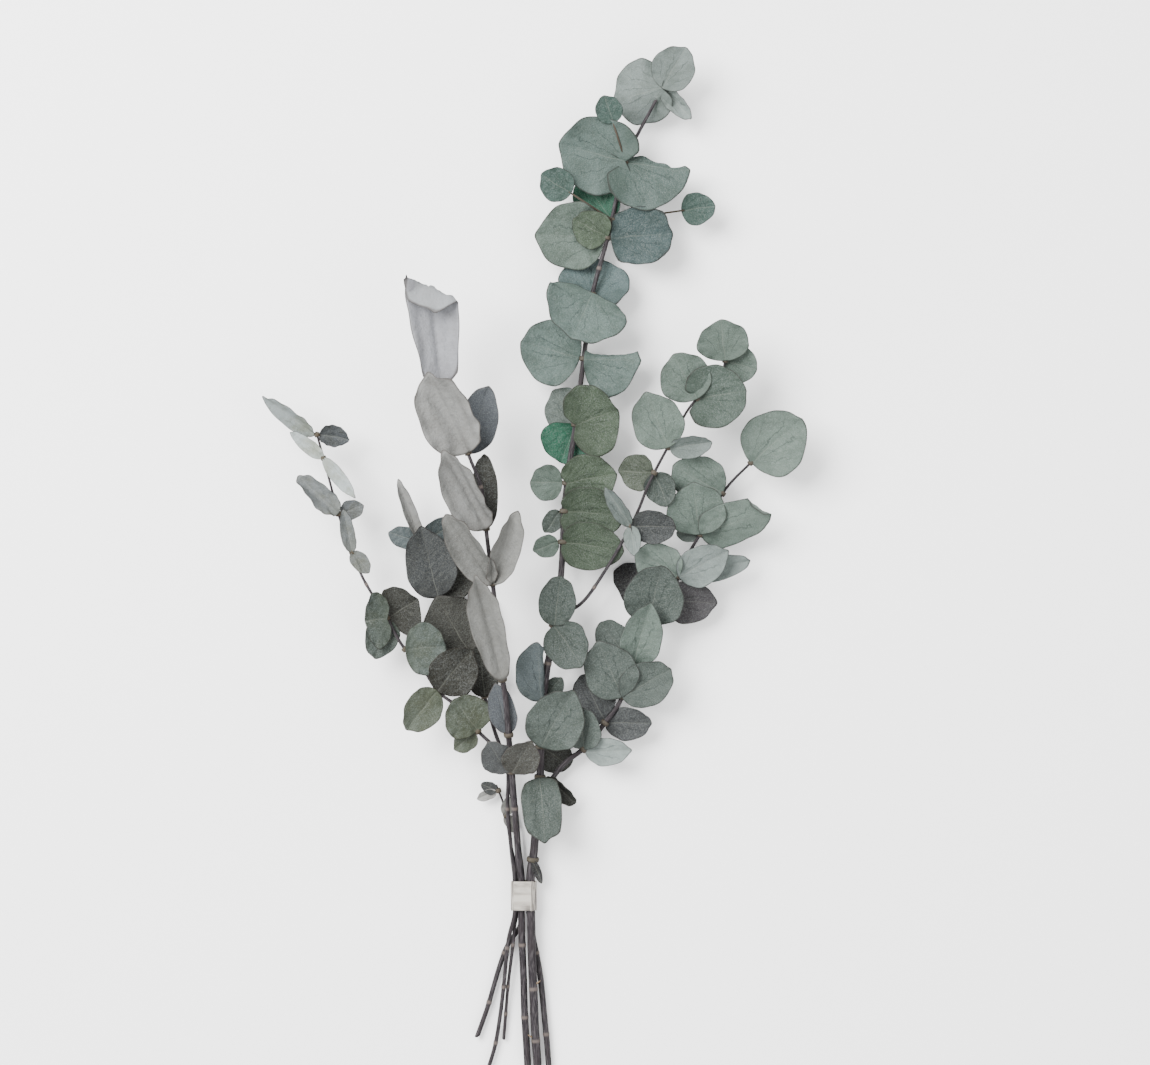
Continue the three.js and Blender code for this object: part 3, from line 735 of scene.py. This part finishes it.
TALL_LEAVES = [
    (25, leaf(-70, 17, 6, "brown", side=1, wave=2.5)),
    (82, leaf(-84, 44, 28, "grey", side=1, lift=30, wave=2.6, boxy=0.35, pleat=0.6),
        leaf(-42, 28, 18, "umber", folds=(50, 50))),
    (103, leaf(62, 46, 40, "grey", side=1, shade=11), leaf(-40, 26, 24, "umber", side=-1, lift=-12)),
    (134, leaf(92, 42, 34, "blue", folds=(0, -150), halves=(1, 0.5), shade=19),
        leaf(50, 20, 14, "grey", side=-1, lift=-20)),
    (186, leaf(82, 36, 26, "grey", side=1), leaf(-52, 34, 32, "grey", side=1, lift=20)),
    (243, leaf(200, 18, 16, "sage", shade=7), leaf(-8, 41, 34, "moss", side=1, lobe=2, roll=-4)),
    (264, leaf(235, 18, 14, "grey", shade=10), leaf(-4, 40, 38, "moss", side=1, lobe=4)),
    (283, leaf(178, 22, 26, "sage"), leaf(12, 34, 36, "moss", side=1, lobe=4, shade=8)),
    (323, leaf(20, 30, 52, "moss", side=1, lobe=6, shade=6),
        leaf(-112, 28, 40, "teal", side=-1, shade=6),
        leaf(125, 28, 30, "grey", side=-1, lift=-24, shade=20)),
    (368, leaf(163, 41, 48, "seafoam", shade=-5),
        leaf(-2, 38, 52, "seafoam", side=1, folds=(-150, 0), halves=(0.5, 1), base=0.6, shade=-7)),
    (412, leaf(84, 26, 50, "slate", side=-1, lift=-34, lobe=10, shade=7),
        leaf(-116, 38, 60, "seafoam", side=1, lift=30, base=0.3, shade=-6)),
    (451, leaf(178, 46, 48, "sage"),
        leaf(5, 42, 40, "slate", folds=(0, 20), boxy=0.3, wave=3, shade=-14),
        leaf(150, 27, 27, "moss", side=1, lift=10, shade=16)),
    (463, leaf(147, 24, 24, "sea", stalk=33, side=1, shade=-6),
        leaf(8, 23, 23, "sea", stalk=48, side=-1, shade=-9),
        leaf(128, 38, 32, "teal", side=-1, lift=-30)),
    (503, leaf(107, 20, 19, "sea", stalk=28, side=1, lift=8, shade=-5),
        leaf(165, 46, 54, "seafoam", side=1, lobe=9, shade=-12),
        leaf(-11, 44, 64, "seafoam", side=1, roll=-22, folds=(-150, 0), halves=(0.12, 1),
            lobe=12, shade=-20)),
    (553, leaf(195, 33, 46, "pale", folds=(-10, -25), lobe=6, side=1, shade=-6),
        leaf(58, 32, 30, "pale", side=1, shade=-6),
        leaf(-46, 28, 16, "pale", side=-1, folds=(40, 40), shade=13)),
]
sprig_leaves(
    "tall",
    leaf_material(
        "tall_leaf", mottle=0.5, mottle_color=(0.5, 0.52, 0.47, 1.0), vein=0.7, dark_vein=0.75,
        rim_shade_color=linear(92, 90, 86),
    ),
    TALL_LEAVES,
)

# The side twig's leaves. A thin twig grows from the tall stem low down and leans out to the right.
# Its leaves are the same green as the tall stem's, and some have dried dark and thin.
SIDE_LEAVES = [
    (254, leaf(0, 31, 24, "iron", side=1),
        leaf(122, 31, 14, "pale", side=1, folds=(40, 40), shade=-15),
        leaf(-80, 20, 12, "pale", side=1, lift=20, wave=2.4)),
    (290, leaf(178, 24, 26, "olive", side=-1, lift=-8, shade=7), leaf(-68, 24, 22, "grey", side=-1)),
    (307, leaf(110, 40, 36, "sage", side=1, shade=6),
        leaf(10, 29, 18, "pale", folds=(35, 20), shade=-10)),
    (340, leaf(118, 34, 36, "sage", side=1), leaf(10, 34, 44, "sage", side=1, lobe=8, shade=-18)),
    (366, leaf(96, 28, 36, "sage", side=1), leaf(-15, 22, 28, "sage", side=-1)),
]
sprig_leaves(
    "side",
    leaf_material(
        "side_leaf", mottle=0.4, mottle_color=(0.55, 0.56, 0.53, 1.0), vein=0.7, dark_vein=0.7,
        rim_shade_color=linear(96, 94, 90),
    ),
    SIDE_LEAVES,
)

# The right sprig's leaves. Grey sage leaves with paler veins; the few nearly black ones lie further
# back, and their darkness is painted shade.
RIGHT_LEAVES = [
    (101, leaf(88, 30, 27, "grey", side=1, shade=13), leaf(5, 32, 20, "pale", shade=14)),
    (119, leaf(122, 36, 32, "iron", side=-1, lift=-28, shade=13),
        leaf(0, 32, 24, "iron", side=-1, lift=-4, shade=15)),
    (137, leaf(112, 42, 38, "grey", side=1, shade=7), leaf(32, 40, 32, "grey", side=1, shade=9)),
    (158, leaf(75, 46, 30, "sage", side=1, folds=(25, 10), shade=5),
        leaf(130, 38, 26, "grey", side=-1, lift=-24, shade=11)),
    (187, leaf(78, 42, 42, "grey", side=1)),
    (203, leaf(155, 41, 33, "brown", side=-1, lift=-28, shade=-5),
        leaf(-5, 36, 30, "brown", side=-1, lift=-14, shade=28)),
    (219, leaf(146, 34, 32, "sage", side=1, shade=22),
        leaf(30, 38, 28, "pale", side=1),
        leaf(13, 50, 18, "pale", side=-1, lift=-8)),
    (248, leaf(97, 36, 42, "sage", side=1),
        leaf(20, 50, 32, "sage", side=1, folds=(10, -25), boxy=0.25, flap=(38, 38, 165), shade=9),
        leaf(175, 16, 12, "grey", side=-1, shade=26)),
    (276, leaf(150, 38, 36, "sage", side=1, shade=9)),
    (297, leaf(42, 46, 46, "sage", shade=11)),
]
sprig_leaves(
    "right",
    leaf_material(
        "right_leaf", mottle=0.4, mottle_color=(0.52, 0.52, 0.52, 1.0), vein=0.75, dark_vein=0.7,
        rim_shade_color=linear(92, 90, 88),
    ),
    RIGHT_LEAVES,
)

# The front sprig's leaves. It lies on top of the bunch. Its leaves are long, folded and bleached
# to a warm grey, and the topmost one is nearly white.
FRONT_LEAVES = [
    (87, leaf(62, 28, 26, "umber", side=1, shade=20), leaf(118, 28, 24, "iron", shade=25)),
    (112, leaf(105, 35, 19, "steel", side=-1, lift=-20)),
    (150, leaf(103, 80, 27, "taupe", side=1, folds=(28, 34), base=1.6, wave=2.6, pleat=0.7, shade=13)),
    (215, leaf(122, 58, 28, "taupe", side=1, wave=3, folds=(20, 45), pleat=0.8),
        leaf(72, 53, 24, "taupe", side=1, folds=(45, 25), wave=2.6, shade=12)),
    (252, leaf(117, 60, 34, "shell", side=1, wave=3, folds=(25, 50), pleat=0.9),
        leaf(92, 50, 18, "umber", side=-1, lift=-20)),
    (303, leaf(116, 60, 42, "shell", side=1, wave=3, folds=(12, 40), pleat=0.8, boxy=0.2, shade=5),
        leaf(72, 46, 28, "steel", side=-1, lift=-20)),
    (349, leaf(97, 84, 38, "lilac", side=1, base=1.3, wave=2.2, folds=(25, 30), boxy=0.45,
            taper=0.2, flap=(-33, 55, 168), pleat=0.6, shade=15)),
]
sprig_leaves(
    "front",
    leaf_material(
        "front_leaf", mottle=0.35, mottle_color=(0.62, 0.59, 0.56, 1.0), vein=0.6, dark_vein=0.25,
        rim_shade_color=linear(118, 112, 108),
    ),
    FRONT_LEAVES,
)

# The left sprig's leaves. Olive and mottled low down, silvery, thin and curled towards its tip.
LEFT_LEAVES = [
    (114, leaf(125, 30, 34, "olive", side=1, shade=10), leaf(215, 18, 16, "olive", shade=18)),
    (142, leaf(50, 36, 34, "umber", side=1), leaf(228, 34, 26, "olive", side=1, lift=14, shade=14)),
    (170, leaf(3, 28, 38, "grey", side=1, shade=15)),
    (191, leaf(185, 15, 40, "grey", side=1, lobe=3),
        leaf(-107, 28, 24, "grey", side=-1),
        leaf(32, 24, 38, "umber", side=-1)),
    (236, leaf(100, 30, 12, "ash", side=1, folds=(30, 45)), leaf(-50, 18, 12, "ash", side=1)),
    (262, leaf(135, 38, 20, "ash", side=1, wave=3, folds=(60, 25), shade=9),
        leaf(20, 16, 14, "steel", shade=25)),
    (300, leaf(140, 28, 10, "silver", side=1, wave=3.4, shade=19),
        leaf(-50, 34, 10, "silver", side=1, lift=15, wave=3, shade=12)),
    (316, leaf(142, 43, 14, "silver", wave=3.6, folds=(15, 50), shade=-10),
        leaf(-10, 20, 20, "steel", folds=(30, 60))),
]
sprig_leaves(
    "left",
    leaf_material(
        "left_leaf", mottle=0.65, mottle_color=(0.6, 0.56, 0.4, 1.0), vein=0.7, dark_vein=0.4,
        rim_shade_color=linear(84, 78, 70),
    ),
    LEFT_LEAVES,
)

# The back sprig's leaves. It lies underneath. Most of its leaves are a dark warm grey that is
# painted shade, for lying under the others, with midribs that stand out pale.
BACK_LEAVES = [
    (137, leaf(95, 38, 22, "umber", side=1)),
    (167, leaf(120, 46, 42, "umber", side=1, shade=12), leaf(75, 40, 28, "umber", side=-1, lift=-20)),
    (205, leaf(103, 50, 35, "iron", side=1, shade=10), leaf(60, 36, 36, "umber", side=-1, lift=-15)),
    (243, leaf(110, 46, 12, "shell", side=1, folds=(50, 50), shade=14),
        leaf(30, 30, 20, "blue", shade=-6),
        leaf(160, 22, 16, "blue", shade=24)),
]
DRY_LEAF = leaf_material(
    "back_leaf", mottle=0.45, mottle_color=(0.6, 0.56, 0.52, 1.0), vein=1.0, dark_vein=0.3,
    rim_shade_color=linear(66, 60, 56),
)
sprig_leaves("back", DRY_LEAF, BACK_LEAVES)

# The short twig's leaves. Four small withered scraps near the broken end of the shortest twig.
SHORT_LEAVES = [
    (55, leaf(80, 14, 9, "taupe", side=1, shade=28), leaf(-62, 14, 8, "taupe", side=-1, shade=26)),
    (72, leaf(150, 12, 9, "iron", shade=20), leaf(200, 14, 8, "shell", shade=28)),
]
sprig_leaves("short", DRY_LEAF, SHORT_LEAVES)

# The tape. One band of thin whitish tape is pulled tight round all the stems and holds the bunch
# together. It is creased along the stems beneath, and their darkness shows through in streaks.
TAPE_WALL = 0.6
TAPE_EASE = 0.15
TAPE_ROUND = 160
TAPE_LONG = 30
TAPE_SHEET = 0.25
CREASE_DEPTH = 0.2
CREASES = 13
FINE_CREASES = 29
CREASE_SWAY = 1.3
EDGE_PRESS = 0.15  # how far the tape's edges are pressed in
EDGE_WIDTH = 0.5
RAGGED = 0.25
TAPE_GRAIN = 7
TAPE_WHITE = linear(222, 216, 204)
TAPE_PALE = linear(228, 224, 216)
TAPE_DARK = linear(136, 130, 126)
TAPE_STAIN = linear(150, 138, 128)
TAPE_STRETCH = 0.06


def tape_point(turn, offset):
    """The point of the taut outline round the stems, offset outwards."""
    cos, sin = math.cos(turn), math.sin(turn)
    held = [plan for plan in STEMS.values() if plan["seat"]]
    outer = max(held, key=lambda plan: plan["seat"][0] * cos + plan["seat"][1] * sin + plan["base"] / 2)
    radius = outer["base"] / 2 + offset
    return outer["seat"][0] + radius * cos, outer["seat"][1] + radius * sin


def tape_piece():
    bm = new_bmesh()
    grain, paint = bm.verts.layers.float_vector["grain"], bm.verts.layers.float_color["tone"]
    inside = CLEARANCE + TAPE_EASE

    def point_of(v, share, turn):
        crease = math.sin(CREASES * turn + CREASE_SWAY * math.sin(3 * turn))
        crease = crease + 0.5 * math.sin(FINE_CREASES * turn + 2 * share)
        edge = min(share, 1 - share) * TAPE_WIDTH
        offset = inside + TAPE_WALL - CREASE_DEPTH * (1.5 - crease) / 3
        offset = offset - EDGE_PRESS * math.exp(-edge / EDGE_WIDTH)
        x, z = tape_point(turn, offset)
        ragged = RAGGED * math.sin(5 * turn + 1) * (2 * share - 1)
        v[grain] = (math.cos(turn) * TAPE_GRAIN, math.sin(turn) * TAPE_GRAIN, share * TAPE_WIDTH)
        v[paint] = TAPE_WHITE
        return placed(Vector((x, (share - 0.5) * TAPE_WIDTH + ragged, z)))

    made = rolled(bm, TAPE_LONG, TAPE_ROUND, point_of)
    bmesh.ops.remove_doubles(bm, verts=made, dist=WELD)
    bmesh.ops.recalc_face_normals(bm, faces=bm.faces)
    bmesh.ops.solidify(bm, geom=list(bm.faces), thickness=TAPE_SHEET * MM)
    return bm


def tape_material():
    nodes = Nodes("tape")
    place = nodes.attribute("grain").outputs["Vector"]
    long = nodes.add("ShaderNodeMapping", {"Vector": place, "Scale": (1.0, 1.0, TAPE_STRETCH)}).outputs[0]
    streak = nodes.noise(long, 0.9, 4.0, 0.6)
    stain = nodes.noise(place, 0.25, 3.0, 0.5)
    color = nodes.mix(nodes.ramp(streak, 0.42, 0.6), TAPE_DARK, TAPE_PALE)
    color = nodes.mix(nodes.ramp(stain, 0.5, 0.7, 0.0, 0.35), color, TAPE_STAIN)
    rough = nodes.ramp(streak, 0.3, 0.7, 0.5, 0.35)
    return nodes.done(color, rough, streak, bump_mm=0.35, specular=0.4)


finish_piece(tape_piece(), "tape_wound", ["tape"], tape_material())

# The table and the light. A pale matt table, lit softly from all round with a little more from the
# upper left, seen from straight above.
TABLE_SIZE = 6.0
TABLE_GREY = 0.9
TABLE_ROUGH = 0.9
SKY_STRENGTH = 1.8
LIGHT_SIZE = 1.6
WINDOW_POWER = 220
FILL_POWER = 25
CAMERA_OVER = Vector((33.1, 249.4, 0))
CAMERA_HEIGHT = 2.204
LENS = 100
SENSOR = 36

bm = bmesh.new()
bmesh.ops.create_grid(bm, x_segments=1, y_segments=1, size=TABLE_SIZE / 2)
table_data = bpy.data.meshes.new("table")
bm.to_mesh(table_data)
bm.free()
table = bpy.data.objects.new("table", table_data)
bpy.context.scene.collection.objects.link(table)
table_material = bpy.data.materials.new("table")
table_material.use_nodes = True
table_shader = table_material.node_tree.nodes["Principled BSDF"]
table_shader.inputs["Base Color"].default_value = (TABLE_GREY, TABLE_GREY, TABLE_GREY, 1)
table_shader.inputs["Roughness"].default_value = TABLE_ROUGH
table_data.materials.append(table_material)

world = bpy.data.worlds.new("studio")
bpy.context.scene.world = world
world.use_nodes = True
sky = world.node_tree.nodes["Background"]
sky.inputs["Color"].default_value = (1, 1, 1, 1)
sky.inputs["Strength"].default_value = SKY_STRENGTH


def area_light(name, size, power, location, aim):
    light = bpy.data.lights.new(name, "AREA")
    light.size, light.energy = size, power
    lamp = bpy.data.objects.new(name, light)
    lamp.location = location
    lamp.rotation_euler = (Vector(aim) - Vector(location)).to_track_quat("-Z", "Y").to_euler()
    bpy.context.scene.collection.objects.link(lamp)


area_light("window", LIGHT_SIZE, WINDOW_POWER, (-1.3, 1.0, 2.0), (0, 0, 0))
area_light("fill", LIGHT_SIZE, FILL_POWER, (1.4, -0.8, 1.9), (0, 0, 0))

camera_data = bpy.data.cameras.new("camera")
camera_data.lens, camera_data.sensor_width = LENS, SENSOR
camera = bpy.data.objects.new("camera", camera_data)
spot = placed(CAMERA_OVER)
camera.location = (spot.x, spot.y, CAMERA_HEIGHT)
bpy.context.scene.collection.objects.link(camera)
bpy.context.scene.camera = camera
